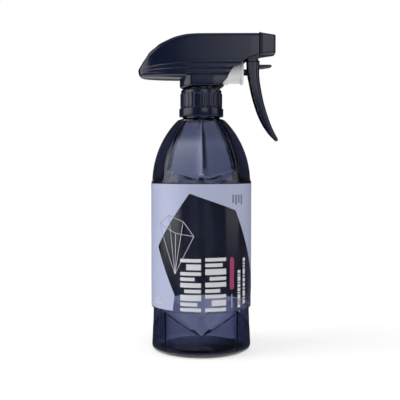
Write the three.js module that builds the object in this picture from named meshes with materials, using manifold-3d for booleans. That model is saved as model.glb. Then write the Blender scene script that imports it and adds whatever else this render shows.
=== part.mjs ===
// A 500 ml trigger spray bottle: faceted bottle, wrap label, screw collar, trigger sprayer.
// Millimetres, +Z up. The origin is the centre of the bottle's base, and it sprays along +X.

import * as THREE from 'three';
import { mergeVertices } from 'three/addons/utils/BufferGeometryUtils.js';
import Module from 'manifold-3d';

const wasm = await Module();
wasm.setup();

const TURN = 2 * Math.PI;
const EIGHTH = TURN / 8;

// Driving dimensions: the bottle
const BODY_RADIUS = 36.0;
const PANEL_RADIUS = 35.7;
const FOOT_RADIUS = 35.5;
const WAIST_RADIUS = 34.3;
const HEEL_RADIUS = 4.0;
const WALL = 1.3;
const PANEL_BOTTOM = 31.6;
const PANEL_TOP = 119.6;
const SHOULDER_TOP = 163.3;
const SHOULDER_ARC = { radius: 65.0, centreRadius: -29.15, centreHeight: 118.5 };
const FOOT_POINT_LOW = 15.3;
const FOOT_POINT_HIGH = 30.4;
const SHOULDER_POINT_LOW = 121.6;
const SHOULDER_POINT_HIGH = 129.2;
const BOTTLE_COLUMNS = 48;

// The 28 mm neck and its thread
const NECK_RADIUS = 12.5;
const NECK_BORE = 10.9;
const NECK_BASE = 165.2;
const NECK_TOP = 182.9;
const THREAD_PITCH = 4.23;
const THREAD_CREST = 13.5;
const THREAD_START = 171.6;
const THREAD_TURNS = 1.75;

// The label sleeve, 0.2 thick, and the corners of its clear window as seen from the front
const LABEL = { inner: 35.75, outer: 35.95, bottom: 32.7, top: 119.3 };
const WINDOW = [
  [-8, 113], [23.5, 101.3], [35.2, 55.6], [39, 46], [39, 30], [-19.9, 30], [-18.4, 43.5], [-30, 75.8],
];

// The collar
const COLLAR = { bottom: 166.6, ribsBottom: 172.6, ribsTop: 183.2, top: 186.1, bore: 13.9 };
const COLLAR_RING_RADIUS = 15.8;
const COLLAR_RIB_RADIUS = 15.05;
const COLLAR_VALLEY_RADIUS = 14.6;
const COLLAR_HOLE_RADIUS = 10.6;
const COLLAR_RIBS = 32;

// The sprayer's heights and axes
const FLANGE_BOTTOM = 183.8;
const PUMP_AXIS = 198.4;
const NOZZLE_AXIS = 217.6;
const PIVOT = { x: 37.3, z: 210.1 };
const PUMP_BORE = 6.6;
const PUMP_REAR = 6.8;
const PUMP_FRONT = 29.9;
const PISTON_REST = 24.5;
const SEAT_HEIGHT = 187.0;
const OUTLET_SEAT = 205.0;

// The trigger is a channel: outer and inner half widths, and the thickness of its front web
const TRIGGER_HALF = 10.3;
const CHANNEL_HALF = 9.3;
const WEB = 1.7;

// The shroud
const SHROUD_HALF = 11.9;
const SHROUD_WALL = 1.2;
const SHROUD_FRONT = 40.4;
const SKIRT_RADIUS = 15.4;
const SKIRT_FLAT = 13.6;
const SKIRT_BOTTOM = 186.9;
const SKIRT_TOP = 195.1;

// The square nozzle cap
const NOZZLE = { rear: 40.8, front: 52.5, rearHalf: 8.1, frontHalf: 6.7, bore: 5.6 };

const group = new THREE.Group();
group.name = 'trigger_spray_bottle';

// ---------- shape helpers ----------

const point = (x, y) => new THREE.Vector2(x, y);

// A closed mesh with shared vertices merged and zero-width triangles dropped, as a solid.
function solid(geometry) {
  const bare = geometry.clone();
  bare.deleteAttribute('normal');
  bare.deleteAttribute('uv');
  const merged = mergeVertices(bare, 1e-4);
  const index = Array.from(merged.index.array);
  const triangles = [];
  for (let i = 0; i < index.length; i += 3) {
    const [a, b, c] = index.slice(i, i + 3);
    if (a !== b && b !== c && c !== a) triangles.push(a, b, c);
  }
  const vertices = new Float32Array(merged.getAttribute('position').array);
  const mesh = new wasm.Mesh({ numProp: 3, vertProperties: vertices, triVerts: new Uint32Array(triangles) });
  return new wasm.Manifold(mesh);
}

function geometryOf(manifold) {
  const mesh = manifold.getMesh();
  const geometry = new THREE.BufferGeometry();
  geometry.setAttribute('position', new THREE.BufferAttribute(new Float32Array(mesh.vertProperties), 3));
  geometry.setIndex(new THREE.BufferAttribute(new Uint32Array(mesh.triVerts), 1));
  return geometry;
}

const join = (...pieces) => geometryOf(pieces.map(solid).reduce((sum, piece) => sum.add(piece)));

const cut = (base, ...tools) =>
  geometryOf(tools.map(solid).reduce((sum, tool) => sum.subtract(tool), solid(base)));

const common = (...pieces) => geometryOf(pieces.map(solid).reduce((sum, piece) => sum.intersect(piece)));

// Revolves a profile about Z. It runs anticlockwise in the (radius, height) plane, and each
// point is a Vector2 or a function that gives one for an azimuth, which starts at -Y.
function turned(profile, segments) {
  const at = (entry, azimuth) => (typeof entry === 'function' ? entry(azimuth) : entry);
  const geometry = new THREE.LatheGeometry(profile.map((entry) => at(entry, 0)), segments);
  const position = geometry.getAttribute('position');
  for (let i = 0; i < position.count; i += 1) {
    const column = Math.floor(i / profile.length) % segments;
    const azimuth = column * TURN / segments;
    const { x: radius, y: height } = at(profile[i % profile.length], azimuth);
    position.setXYZ(i, radius * Math.sin(azimuth), -radius * Math.cos(azimuth), height);
  }
  return geometry;
}

// A profile that doesn't touch the axis, closed on itself.
const ring = (pairs, segments) => {
  const profile = pairs.map((entry) => (Array.isArray(entry) ? point(...entry) : entry));
  return turned([...profile, profile[0]], segments);
};

const rod = (radius, from, to, segments) =>
  turned([point(0, from), point(radius, from), point(radius, to), point(0, to)], segments);

const tube = (inner, outer, from, to, segments) =>
  ring([[inner, from], [outer, from], [outer, to], [inner, to]], segments);

// Turns a piece made about Z so that it lies along X, with Z heights becoming X places.
const alongX = (geometry, height) => geometry.rotateY(TURN / 4).translate(0, 0, height);

const alongY = (geometry, x, z) => geometry.rotateX(-TURN / 4).translate(x, 0, z);

function block(minimum, maximum) {
  const [x, y, z] = maximum.map((value, axis) => value - minimum[axis]);
  const centre = maximum.map((value, axis) => (value + minimum[axis]) / 2);
  return new THREE.BoxGeometry(x, y, z).translate(...centre);
}

// A side outline in X and Z, extruded across Y to the same half width on both sides.
function slab(outline, halfWidth, curveSegments = 6) {
  const settings = { depth: 2 * halfWidth, bevelEnabled: false, curveSegments };
  const geometry = new THREE.ExtrudeGeometry(outline, settings);
  return geometry.rotateX(TURN / 4).translate(0, halfWidth, 0);
}

const polygon = (pairs) => new THREE.Shape(pairs.map((pair) => point(...pair)));

// A straight bar of trapezoid section bent into a right-handed helix about Z. A section corner
// is [radius, height above the helix's centre line].
function helix(corners, start, pitch, turns, stepsPerTurn) {
  const steps = Math.round(turns * stepsPerTurn);
  const section = new THREE.Shape(corners.map(([radius, rise]) => point(radius, rise)));
  const bar = new THREE.ExtrudeGeometry(section, { depth: turns, steps, bevelEnabled: false });
  const position = bar.getAttribute('position');
  for (let i = 0; i < position.count; i += 1) {
    const radius = position.getX(i);
    const angle = position.getZ(i) * TURN;
    const height = start + position.getY(i) + position.getZ(i) * pitch;
    position.setXYZ(i, radius * Math.cos(angle), radius * Math.sin(angle), height);
  }
  return flipped(mergeVertices(bar));
}

// The bend above turns a bar inside out, so its faces are turned back.
function flipped(geometry) {
  const index = geometry.index.array;
  for (let i = 0; i < index.length; i += 3) {
    [index[i], index[i + 1]] = [index[i + 1], index[i]];
  }
  return geometry;
}

function add(name, geometry, colour, roughness, metalness = 0) {
  const material = new THREE.MeshStandardMaterial({ color: colour, roughness, metalness });
  const mesh = new THREE.Mesh(geometry, material);
  mesh.name = name;
  group.add(mesh);
  return mesh;
}

const NAVY = '#20265c';
const DARK_NAVY = '#181c44';
const LAVENDER = '#b3a6cf';
const WHITE = '#eceef2';
const BLACK = '#15161a';
const CLEAR_GREY = '#b9bec9';
const STEEL = '#a9adb2';

// ---------- bottle ----------

// 0 towards the front, back and sides, 1 at the four diagonals.
function diagonal(azimuth) {
  const eighths = (azimuth / EIGHTH) % 2;
  return eighths <= 1 ? eighths : 2 - eighths;
}

// How far a flat side of a regular octagon lies inside the circle through its corners.
const octagon = (azimuth) => Math.cos(EIGHTH / 2) / Math.cos((azimuth % EIGHTH) - EIGHTH / 2);

const mix = THREE.MathUtils.lerp;

function shoulderRadius(height) {
  const { radius, centreRadius, centreHeight } = SHOULDER_ARC;
  return centreRadius + Math.sqrt(radius ** 2 - (height - centreHeight) ** 2);
}

// One level of the faceted shoulder, from its zigzag lower edge (0) to its top (1).
const shoulderRow = (share) => (azimuth) => {
  const edge = mix(SHOULDER_POINT_LOW, SHOULDER_POINT_HIGH, diagonal(azimuth));
  const height = mix(edge, SHOULDER_TOP, share);
  return point(shoulderRadius(height) * octagon(azimuth), height);
};

// The zigzag above the foot, and the shallow waist that it rises into.
const footEdge = (azimuth) => {
  const height = mix(FOOT_POINT_LOW, FOOT_POINT_HIGH, diagonal(azimuth));
  return point(mix(FOOT_RADIUS - 0.5, FOOT_RADIUS, diagonal(azimuth)), height);
};

const waist = (azimuth) => {
  const edge = footEdge(azimuth);
  return point(mix(WAIST_RADIUS, edge.x, diagonal(azimuth) ** 3), Math.max(28, edge.y + 0.4));
};

function bottleGeometry() {
  const heel = [0.35, 0.7, 1].map((share) => {
    const angle = share * TURN / 4;
    const radius = FOOT_RADIUS - HEEL_RADIUS * (1 - Math.sin(angle));
    return point(radius, HEEL_RADIUS * (1 - Math.cos(angle)));
  });
  const outside = [
    point(0, 0), point(8, 0), point(9.5, 1), point(26, 1), point(28, 0),
    point(FOOT_RADIUS - HEEL_RADIUS, 0), ...heel, footEdge, waist,
    point(PANEL_RADIUS, PANEL_BOTTOM), point(PANEL_RADIUS, PANEL_TOP),
    point(BODY_RADIUS, PANEL_TOP + 0.5), ...[0, 0.2, 0.4, 0.6, 0.8, 1].map(shoulderRow),
    point(15.2, 164.7), point(13.2, NECK_BASE), point(13.2, NECK_BASE + 1),
    point(NECK_RADIUS, NECK_BASE + 1.6),
    point(NECK_RADIUS, NECK_TOP - 0.4), point(NECK_RADIUS - 0.4, NECK_TOP),
  ];
  const inside = [
    point(NECK_BORE, NECK_TOP), point(NECK_BORE, 164), point(14.3, 162),
    ...[156, 148, 138].map((height) => point(shoulderRadius(height) * Math.cos(EIGHTH / 2) - WALL, height)),
    point(31.2, 128), point(PANEL_RADIUS - WALL, PANEL_TOP - 2), point(PANEL_RADIUS - WALL, PANEL_BOTTOM + 2),
    point(WAIST_RADIUS - WALL, 28), point(WAIST_RADIUS - WALL, 6.4), point(29, 2.4), point(0, 2.4),
  ];
  const shell = turned([...outside, ...inside], BOTTLE_COLUMNS);
  const section = [[NECK_RADIUS - 0.2, -1], [THREAD_CREST, -0.5], [THREAD_CREST, 0.5], [NECK_RADIUS - 0.2, 1]];
  return join(shell, helix(section, THREAD_START, THREAD_PITCH, THREAD_TURNS, 24));
}

function labelGeometry() {
  const { inner, outer, bottom, top } = LABEL;
  const opening = slab(polygon(WINDOW), BODY_RADIUS / 2).translate(0, -BODY_RADIUS / 2 - 1, 0);
  return cut(tube(inner, outer, bottom, top, BOTTLE_COLUMNS), opening);
}

// ---------- collar and gasket ----------

function collarGeometry() {
  const { bottom, ribsBottom, ribsTop, top, bore } = COLLAR;
  const columns = 2 * COLLAR_RIBS;
  const rib = (height) => (azimuth) => {
    const crest = Math.round(azimuth / TURN * columns) % 2 === 0;
    return point(crest ? COLLAR_RIB_RADIUS : COLLAR_VALLEY_RADIUS, height);
  };
  const shell = ring([
    [bore, bottom], [COLLAR_RING_RADIUS - 0.3, bottom], [COLLAR_RING_RADIUS, bottom + 0.4],
    [COLLAR_RING_RADIUS, ribsBottom - 0.4], [COLLAR_RING_RADIUS - 0.4, ribsBottom],
    rib(ribsBottom + 0.2), rib(ribsTop), [14.5, ribsTop + 0.4], [14.3, top - 0.9], [13.5, top],
    [COLLAR_HOLE_RADIUS, top], [COLLAR_HOLE_RADIUS, top - 1.1], [bore, top - 1.1],
  ], columns);
  const section = [[bore + 0.2, 0.9], [12.9, 0.45], [12.9, -0.45], [bore + 0.2, -0.9]];
  const start = THREAD_START - THREAD_PITCH / 2;
  return join(shell, helix(section, start, THREAD_PITCH, THREAD_TURNS, 24));
}

// ---------- sprayer body ----------

function sprayerBodyGeometry() {
  const column = turned([
    point(0, FLANGE_BOTTOM), point(12.5, FLANGE_BOTTOM), point(12.5, FLANGE_BOTTOM + 1),
    point(10.2, FLANGE_BOTTOM + 1), point(10.2, 188.2), point(6.2, 189.1),
    point(6.2, NOZZLE_AXIS), point(0, NOZZLE_AXIS),
  ], 32);
  const outlet = alongX(rod(4.2, -6.2, NOZZLE.front - 5.5, 24), NOZZLE_AXIS);
  const pumpSeat = alongX(rod(8, 3, PUMP_REAR - 0.3, 24), PUMP_AXIS);
  const chin = slab(polygon([[8, 187], [13.4, 187], [16.2, 189.1], [8, 189.1]]), 6);
  const headBlock = block([32.5, -6.5, 213], [NOZZLE.rear - 0.1, 6.5, 222.5]);
  const facePlate = block([SHROUD_FRONT + 0.02, -7.6, 210], [NOZZLE.rear - 0.1, 7.6, 225.2]);
  const ears = block([35.2, -6.5, 208.2], [39.4, 6.5, 214]);
  const pivots = alongY(rod(1.6, -TRIGGER_HALF + 0.1, TRIGGER_HALF - 0.1, 20), PIVOT.x, PIVOT.z);
  return cut(
    join(column, outlet, pumpSeat, chin, headBlock, facePlate, ears, pivots),
    rod(4, FLANGE_BOTTOM - 1, 194.6, 24),
    rod(2.5, 194, 203, 20),
    rod(1.2, 202, 206, 20),
    rod(2.5, OUTLET_SEAT, NOZZLE_AXIS, 20),
    alongX(rod(1.7, 0, NOZZLE.front - 4.5, 20), NOZZLE_AXIS),
    alongX(rod(1.2, 0, 8, 20), PUMP_AXIS),
  );
}

// The skin of the shroud, or its hollow when every wall is moved inwards by the same inset.
function shroudForm(inset) {
  const side = new THREE.Shape();
  side.moveTo(-16, 192.6 + inset);
  side.lineTo(-38, 193.4 + inset);
  side.bezierCurveTo(-43, 193.6 + inset, -45.2 + inset, 196, -44.9 + inset, 199.3);
  side.bezierCurveTo(-43 + inset, 204.5, -38 + inset * 0.8, 214, -30.4 + inset * 0.6, 218.8 - inset * 0.8);
  side.bezierCurveTo(-24, 222.4 - inset, -16, 226.3 - inset, 0, 226.4 - inset);
  side.lineTo(SHROUD_FRONT + inset, 226.5 - inset);
  side.lineTo(SHROUD_FRONT + inset, 211.4);
  side.lineTo(33, 207.6);
  side.bezierCurveTo(26, 204.2, 20.5, 200.5, 18.6, 194);
  side.bezierCurveTo(17.5, 191, 15, 190.2, 12, 189.6);
  side.lineTo(-12, 189.6);
  side.closePath();
  const half = SHROUD_HALF - inset;
  const section = new THREE.Shape();
  section.moveTo(-half + 3, 192.7 + inset);
  section.bezierCurveTo(-half, 193.5 + inset, -half, 196, -half, 198);
  section.lineTo(-half, 213);
  section.bezierCurveTo(-half, 221, -9 + inset, 226.6 - inset, -3, 226.6 - inset);
  section.lineTo(3, 226.6 - inset);
  section.bezierCurveTo(9 - inset, 226.6 - inset, half, 221, half, 213);
  section.lineTo(half, 198);
  section.bezierCurveTo(half, 196, half, 193.5 + inset, half - 3, 192.7 + inset);
  section.closePath();
  const across = new THREE.ExtrudeGeometry(section, { depth: 100, bevelEnabled: false, curveSegments: 6 });
  across.rotateX(TURN / 4).rotateZ(TURN / 4).translate(-50, 0, 0);
  const plan = new THREE.Shape();
  plan.moveTo(50, -half);
  plan.lineTo(50, half);
  plan.lineTo(-8, half);
  plan.bezierCurveTo(-26, half, -40 + inset, half - 3, -46 + inset, 3);
  plan.lineTo(-46 + inset, -3);
  plan.bezierCurveTo(-40 + inset, 3 - half, -26, -half, -8, -half);
  plan.closePath();
  const above = new THREE.ExtrudeGeometry(plan, { depth: 60, bevelEnabled: false, curveSegments: 6 });
  return [slab(side, SHROUD_HALF + 1, 8), across, above.translate(0, 0, 180)];
}

// The skirt's outline from above: round behind the neck, with flat sides that run forward and
// close in a little. An entry gives its radius at an azimuth, moved out by an offset, and height.
function skirtPlan(offset, height) {
  return (azimuth) => {
    const forward = Math.sin(azimuth);
    const sideways = Math.abs(Math.cos(azimuth));
    const flat = (SKIRT_FLAT + offset) / sideways;
    if (forward <= 0) return point(Math.min(SKIRT_RADIUS + offset, flat), height(azimuth));
    const closing = (SKIRT_FLAT + 1.8 + offset) / (sideways + 0.18 * forward);
    return point(Math.min(flat, closing, 24 / forward), height(azimuth));
  };
}

// The skirt's lower edge is rounded at the back, and rises to a plain edge under its flat sides.
function skirtBottom(rise) {
  return (azimuth) => {
    const side = THREE.MathUtils.smoothstep(Math.sin(azimuth), -0.8, -0.3);
    return SKIRT_BOTTOM + rise * (1 - 0.8 * side) + 1.3 * side;
  };
}

function shroudGeometry() {
  const open = 8;
  const skin = common(...shroudForm(0));
  const hollow = common(...shroudForm(SHROUD_WALL));
  const skirtSides = slab(polygon([
    [-20, 186], [11, 186], [11.8, 188.4], [14.7, 189.7],
    [17.5, 192.1], [19.3, 195.6], [19.3, 200], [-20, 200],
  ]), 20);
  const skirt = common(turned([
    point(0, SKIRT_BOTTOM), skirtPlan(-1.8, skirtBottom(0)), skirtPlan(0, skirtBottom(1.5)),
    skirtPlan(0, () => SKIRT_TOP - 0.6), skirtPlan(-0.6, () => SKIRT_TOP), point(0, SKIRT_TOP),
  ], 72), skirtSides);
  const skirtHollow = turned([
    point(0, SKIRT_BOTTOM - 1), skirtPlan(-2.8, () => SKIRT_BOTTOM - 1),
    skirtPlan(-SHROUD_WALL, skirtBottom(1.8)), skirtPlan(-SHROUD_WALL, () => SKIRT_TOP - SHROUD_WALL),
    point(0, SKIRT_TOP - SHROUD_WALL),
  ], 72);
  const frontDoor = block([SHROUD_FRONT - open, -9.6, 213.2], [SHROUD_FRONT + 1, 9.6, 223.4]);
  const underside = slab(polygon([
    [6.5, 186], [6.5, 199], [16, 207], [30, 212.5],
    [SHROUD_FRONT + 1, 214.5], [SHROUD_FRONT + 1, 205], [24, 188],
  ]), SHROUD_HALF - SHROUD_WALL);
  return cut(join(skin, skirt), hollow, skirtHollow, frontDoor, underside);
}

// ---------- pump ----------

function pumpCylinderGeometry() {
  return alongX(ring([
    [1.3, PUMP_REAR], [8.7, PUMP_REAR], [9.0, PUMP_REAR + 0.3], [9.0, 19.1], [8.0, 19.5], [8.0, 27.6],
    [8.8, 27.9], [9.0, 28.1], [9.0, PUMP_FRONT], [PUMP_BORE, PUMP_FRONT], [PUMP_BORE, PUMP_REAR + 1.2],
    [1.3, PUMP_REAR + 1.2],
  ], 32), PUMP_AXIS);
}

function pistonGeometry() {
  const rear = PISTON_REST;
  return alongX(turned([
    point(0, rear + 1.2), point(4.0, rear + 1.2), point(4.4, rear - 1), point(5.4, rear - 1),
    point(5.7, rear + 1), point(5.7, rear + 3), point(4, rear + 3.4), point(0, rear + 3.4),
  ], 24), PUMP_AXIS);
}

function pistonSealGeometry() {
  return alongX(ring([
    [5.8, PISTON_REST + 0.9], [6.45, PISTON_REST + 0.4], [6.45, PISTON_REST + 0.9], [6.1, PISTON_REST + 1.7],
    [6.45, PISTON_REST + 2.5], [6.45, PISTON_REST + 3], [5.8, PISTON_REST + 2.8],
  ], 24), PUMP_AXIS);
}

// A cross-shaped rod with a round nose that pushes on the trigger's web.
function pistonRodGeometry() {
  const noseRadius = 2.2;
  const rib = 0.7;
  const from = PISTON_REST + 3.5;
  const noseCentre = 37.2;
  const level = block([from, -noseRadius, PUMP_AXIS - rib], [noseCentre, noseRadius, PUMP_AXIS + rib]);
  const upright = block([from, -rib, PUMP_AXIS - noseRadius], [noseCentre, rib, PUMP_AXIS + noseRadius]);
  const arc = [0, 1, 2, 3, 4].map((step) => {
    const angle = step * TURN / 16;
    return point(noseRadius * Math.cos(angle), noseCentre + noseRadius * Math.sin(angle));
  });
  const nose = turned([point(0, noseCentre - 0.8), point(noseRadius, noseCentre - 0.8), ...arc], 16);
  return join(level, upright, alongX(nose, PUMP_AXIS));
}

function springGeometry() {
  const wire = 0.45;
  const coil = 3.2;
  const turns = 6;
  const from = PUMP_REAR + 1.2 + 0.6;
  const to = PISTON_REST - 1.7;
  const section = [0, 1, 2, 3, 4, 5].map((side) => {
    const angle = side * TURN / 6;
    return [coil + wire * Math.sin(angle), wire * Math.cos(angle)];
  });
  return alongX(helix(section, from, (to - from) / turns, turns, 12), PUMP_AXIS);
}

// ---------- valves and dip tube ----------

function tubeAdapterGeometry() {
  return ring([
    [2.65, 176], [3.6, 176], [3.6, 182.2], [6, 182.6], [6, 183.5], [3.9, 183.5], [3.9, 194],
    [2.1, 194], [2.1, SEAT_HEIGHT + 1.2], [1, SEAT_HEIGHT], [1, 185.2], [2.65, 185.2],
  ], 20);
}

function dipTubeGeometry() {
  const bottom = 7;
  const trim = block([-6, -6, -6], [6, 6, 0]).rotateY(TURN / 10).translate(0, 0, bottom + 1);
  return cut(tube(1.7, 2.5, bottom, 184.9, 16), trim);
}

function outletValveGeometry() {
  const disc = OUTLET_SEAT + 0.05;
  return turned([
    point(0, disc), point(2.1, disc), point(2.1, disc + 1), point(0.9, disc + 1.4),
    point(0.9, disc + 5), point(0, disc + 5),
  ], 16);
}

// ---------- nozzle ----------

function nozzleCapGeometry() {
  const { rear, front, rearHalf, frontHalf, bore } = NOZZLE;
  const corner = 1.4;
  const outline = new THREE.Shape();
  const edge = rearHalf - corner;
  outline.moveTo(-edge, -rearHalf);
  [[1, 0], [0, 1], [-1, 0], [0, -1]].forEach(([right, up]) => {
    const side = point(edge * right + rearHalf * up, edge * up - rearHalf * right);
    const bend = point(rearHalf * (right + up), rearHalf * (up - right));
    const next = point(rearHalf * right + edge * up, rearHalf * up - edge * right);
    outline.lineTo(side.x, side.y);
    outline.quadraticCurveTo(bend.x, bend.y, next.x, next.y);
  });
  const settings = { depth: front - rear, steps: 1, bevelEnabled: false, curveSegments: 3 };
  const cap = new THREE.ExtrudeGeometry(outline, settings);
  const position = cap.getAttribute('position');
  for (let i = 0; i < position.count; i += 1) {
    const share = position.getZ(i) / (front - rear);
    const scale = mix(1, frontHalf / rearHalf, share);
    position.setXY(i, position.getX(i) * scale, position.getY(i) * scale);
  }
  cap.translate(0, 0, rear);
  const orifice = turned([
    point(0, front - 4), point(0.5, front - 4), point(0.5, front - 1), point(2.6, front - 0.6),
    point(3, front + 1), point(0, front + 1),
  ], 20);
  const hollow = rod(bore, rear - 1, front - 2.4, 24);
  return cut(cap, orifice, hollow).rotateY(TURN / 4).translate(0, 0, NOZZLE_AXIS);
}

// ---------- trigger ----------

function triggerGeometry() {
  const blade = (offset, back) => {
    const shape = new THREE.Shape();
    shape.moveTo(32.6 - back, 205.8);
    shape.lineTo(32.6 - back, 211);
    shape.bezierCurveTo(32.9 - back, 214.8, 39.9 - offset, 215.2, 40.4 - offset, 210.1);
    shape.lineTo(40.6 - offset, 206.4);
    shape.lineTo(41.65 - offset, 205.5);
    shape.lineTo(41.25 - offset, 205.1);
    shape.lineTo(41.75 - offset, 204.6);
    shape.bezierCurveTo(41.15 - offset, 200, 41.1 - offset, 196.5, 41.85 - offset, 191);
    shape.bezierCurveTo(44.1 - offset, 176.5, 47.0 - offset, 165.8, 54.3 - offset, 151.2);
    return shape;
  };
  const outline = blade(0, 0);
  outline.bezierCurveTo(54.9, 149.6, 54.5, 148.9, 53.3, 150.2);
  outline.bezierCurveTo(40.5, 161.8, 37.7, 177.2, 34.65, 191);
  outline.bezierCurveTo(33.7, 195.5, 32.7, 199, 32.6, 205.8);
  const channel = blade(WEB, 8);
  channel.lineTo(50.6, 153);
  channel.lineTo(30, 153);
  channel.closePath();
  const openTop = block([25, -CHANNEL_HALF, 207.4], [50, CHANNEL_HALF, 220]);
  const pivotHole = alongY(rod(1.75, -12, 12, 20), PIVOT.x, PIVOT.z);
  const lockSlot = block([36, -4.3, 200.6], [46, 4.3, 204]);
  const shell = slab(outline, TRIGGER_HALF, 8);
  const trigger = cut(shell, slab(channel, CHANNEL_HALF, 8), openTop, pivotHole, lockSlot);
  const position = trigger.getAttribute('position');
  for (let i = 0; i < position.count; i += 1) {
    const share = THREE.MathUtils.clamp((190 - position.getZ(i)) / 40, 0, 1);
    position.setY(i, position.getY(i) * mix(1, 0.8, share));
  }
  return trigger;
}

function triggerLockGeometry() {
  const plan = new THREE.Shape();
  plan.moveTo(38.3, -5.2);
  plan.lineTo(39.4, -5.2);
  plan.lineTo(39.4, -4);
  plan.lineTo(48.1, -4);
  plan.quadraticCurveTo(50.1, -4, 50.1, -2);
  plan.lineTo(50.1, 2);
  plan.quadraticCurveTo(50.1, 4, 48.1, 4);
  plan.lineTo(39.4, 4);
  plan.lineTo(39.4, 5.2);
  plan.lineTo(38.3, 5.2);
  plan.closePath();
  const bar = new THREE.ExtrudeGeometry(plan, { depth: 2.8, bevelEnabled: false, curveSegments: 4 });
  return bar.translate(0, 0, 200.9);
}

// ---------- assembly ----------

add('bottle', bottleGeometry(), NAVY, 0.12);
add('label', labelGeometry(), LAVENDER, 0.35);
add('neck_gasket', tube(10.1, 12.3, NECK_TOP + 0.05, FLANGE_BOTTOM - 0.05, 32), WHITE, 0.6);
add('collar', collarGeometry(), NAVY, 0.3);
add('sprayer_body', sprayerBodyGeometry(), DARK_NAVY, 0.35);
add('shroud', shroudGeometry(), NAVY, 0.3);
add('pump_cylinder', pumpCylinderGeometry(), WHITE, 0.35);
add('piston', pistonGeometry(), WHITE, 0.4);
add('piston_seal', pistonSealGeometry(), CLEAR_GREY, 0.5);
add('piston_rod', pistonRodGeometry(), BLACK, 0.45);
add('return_spring', springGeometry(), STEEL, 0.3, 1);
add('tube_adapter', tubeAdapterGeometry(), WHITE, 0.5);
add('inlet_ball', new THREE.SphereGeometry(1.6, 16, 10).translate(0, 0, SEAT_HEIGHT + 1.37), STEEL, 0.15, 1);
add('outlet_valve', outletValveGeometry(), CLEAR_GREY, 0.5);
add('dip_tube', dipTubeGeometry(), CLEAR_GREY, 0.25);
add('nozzle_seal', alongX(tube(4.3, 5.4, 42.6, 44.2, 24), NOZZLE_AXIS), BLACK, 0.7);
add('nozzle_cap', nozzleCapGeometry(), NAVY, 0.28);
add('swirl_insert', alongX(tube(0.6, 4.4, 47.4, 49.8, 20), NOZZLE_AXIS), WHITE, 0.45);
add('trigger', triggerGeometry(), NAVY, 0.3);
add('trigger_lock', triggerLockGeometry(), NAVY, 0.3);

export default group;
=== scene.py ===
"""A trigger spray bottle: clear navy faceted bottle, lavender wrap label, screw collar and sprayer.

Lengths are millimetres in the outlines and become metres when a mesh is made.
"""
import math

import bmesh
import bpy
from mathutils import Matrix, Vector


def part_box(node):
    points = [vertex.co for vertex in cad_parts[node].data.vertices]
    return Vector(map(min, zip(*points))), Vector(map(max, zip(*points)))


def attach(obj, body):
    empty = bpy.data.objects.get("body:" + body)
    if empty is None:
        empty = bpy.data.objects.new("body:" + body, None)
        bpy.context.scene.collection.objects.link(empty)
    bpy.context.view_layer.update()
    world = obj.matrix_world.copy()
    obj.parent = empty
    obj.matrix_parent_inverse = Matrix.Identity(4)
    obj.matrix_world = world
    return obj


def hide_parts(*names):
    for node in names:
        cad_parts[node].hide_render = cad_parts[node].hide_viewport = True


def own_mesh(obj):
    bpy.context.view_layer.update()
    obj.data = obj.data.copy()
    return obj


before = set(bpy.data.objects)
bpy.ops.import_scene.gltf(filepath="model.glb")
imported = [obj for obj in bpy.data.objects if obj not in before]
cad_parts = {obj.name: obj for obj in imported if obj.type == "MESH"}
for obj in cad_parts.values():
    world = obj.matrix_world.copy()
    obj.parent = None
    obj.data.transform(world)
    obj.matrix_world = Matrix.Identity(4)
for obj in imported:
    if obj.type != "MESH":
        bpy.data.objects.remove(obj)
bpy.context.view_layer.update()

MM = 0.001
TURN = 2 * math.pi


def span(node):
    """A CAD node's lowest and highest corners, in millimetres."""
    low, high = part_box(node)
    return low / MM, high / MM


BOTTLE_HIGH = span("bottle")[1]
COLLAR_LOW, COLLAR_HIGH = span("collar")
LABEL_LOW, LABEL_HIGH = span("label")
SHROUD_LOW, SHROUD_HIGH = span("shroud")
PUMP_LOW, PUMP_HIGH = span("pump_cylinder")
NOZZLE_LOW, NOZZLE_HIGH = span("nozzle_cap")
LOCK_LOW, LOCK_HIGH = span("trigger_lock")
SPRING_LOW, SPRING_HIGH = span("return_spring")

BODY_RADIUS = BOTTLE_HIGH.x
LABEL_RADIUS = LABEL_HIGH.x
PANEL_RADIUS = LABEL_RADIUS - 0.25
PUMP_AXIS = (PUMP_LOW.z + PUMP_HIGH.z) / 2
NOZZLE_AXIS = (NOZZLE_LOW.z + NOZZLE_HIGH.z) / 2
NECK_TOP = BOTTLE_HIGH.z


# ---------- small maths ----------


def mix(a, b, share):
    return a + (b - a) * share


def clamp(value):
    return max(0.0, min(1.0, value))


def smooth(value, low, high):
    """0 below low, 1 above high, with an eased rise between them."""
    share = clamp((value - low) / (high - low))
    return share * share * (3 - 2 * share)


def bump(value, centre, half_width):
    """1 at the centre, easing to 0 a half width away."""
    return smooth(half_width - abs(value - centre), 0, half_width)


def table(pairs):
    """A smooth function through (input, output) pairs, flat beyond its ends."""
    xs = [pair[0] for pair in pairs]
    ys = [pair[1] for pair in pairs]
    slopes = [(ys[i + 1] - ys[i]) / (xs[i + 1] - xs[i]) for i in range(len(xs) - 1)]
    ends = [slopes[0]] + [
        0 if a * b <= 0 else 2 * a * b / (a + b) for a, b in zip(slopes, slopes[1:])
    ] + [slopes[-1]]

    def value(x):
        if x <= xs[0]:
            return ys[0]
        if x >= xs[-1]:
            return ys[-1]
        i = next(k for k in range(len(xs) - 1) if x <= xs[k + 1])
        h = xs[i + 1] - xs[i]
        t = (x - xs[i]) / h
        return (
            ys[i] * (1 + 2 * t) * (1 - t) ** 2
            + ys[i + 1] * t * t * (3 - 2 * t)
            + ends[i] * h * t * (1 - t) ** 2
            - ends[i + 1] * h * t * t * (1 - t)
        )

    return value


# ---------- mesh makers ----------


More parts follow.
